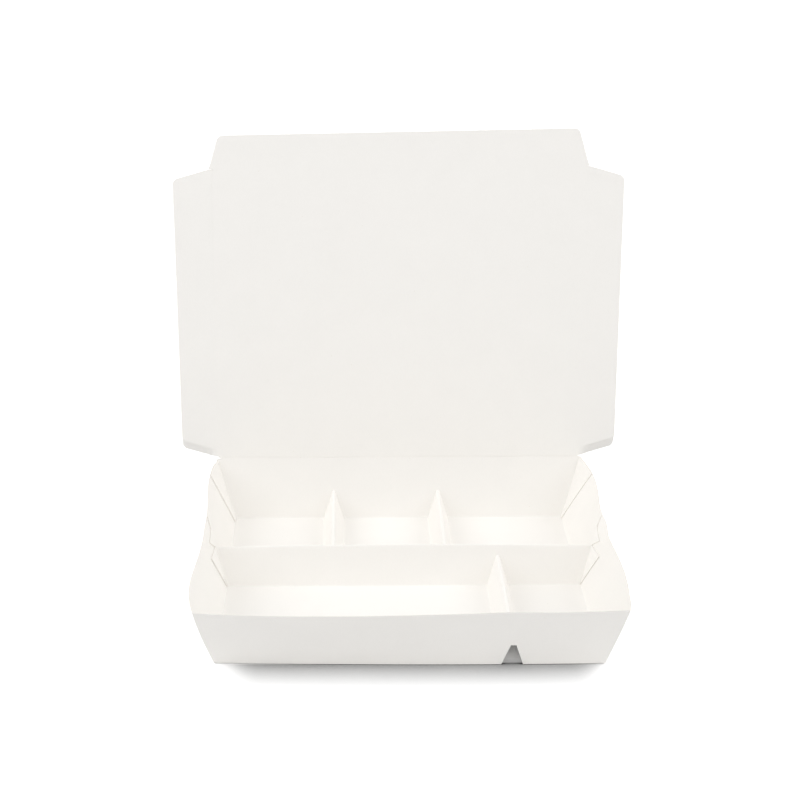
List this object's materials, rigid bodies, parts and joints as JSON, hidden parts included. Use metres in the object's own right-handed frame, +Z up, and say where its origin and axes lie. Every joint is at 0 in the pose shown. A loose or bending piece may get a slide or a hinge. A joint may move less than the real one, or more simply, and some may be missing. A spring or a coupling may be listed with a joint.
{
  "type": "takeout food box",
  "caption": "Open paperboard takeout food box with a divided tray, folded ridges between its compartments and a hinged lid with tuck-in flaps.",
  "frame": {"origin": "on the base, midway across the tray, where the front floor folds up into the long ridge", "axes": "+X to the right along the long ridge, +Y to the back towards the lid's fold, +Z up"},
  "size_m": [0.2842, 0.2355, 0.245],
  "materials": {
    "board": "matte"
  },
  "bodies": {
    "tray": {"tray": "board"},
    "lid": {"lid_panel": "board"},
    "left_flap": {"lid_left_flap": "board"},
    "right_flap": {"lid_right_flap": "board"},
    "front_flap": {"lid_front_flap": "board"}
  },
  "joints": [
    {"name": "lid_fold", "type": "hinge", "parent": "tray", "child": "lid", "pos_m": [0, 0.09747, 0.04057], "axis": [1, 0, 0], "range_deg": [-78.6, 101.4]},
    {"name": "left_flap_fold", "type": "hinge", "parent": "lid", "child": "left_flap", "pos_m": [-0.1186, 0.09725, 0.04062], "axis": [0, 0.1977, 0.9803], "range_deg": [0, 142]},
    {"name": "right_flap_fold", "type": "hinge", "parent": "lid", "child": "right_flap", "pos_m": [0.1186, 0.09725, 0.04062], "axis": [0, -0.1977, -0.9803], "range_deg": [0, 142]},
    {"name": "front_flap_fold", "type": "hinge", "parent": "lid", "child": "front_flap", "pos_m": [0, 0.13441, 0.22494], "axis": [1, 0, 0], "range_deg": [0, 106]}
  ]
}
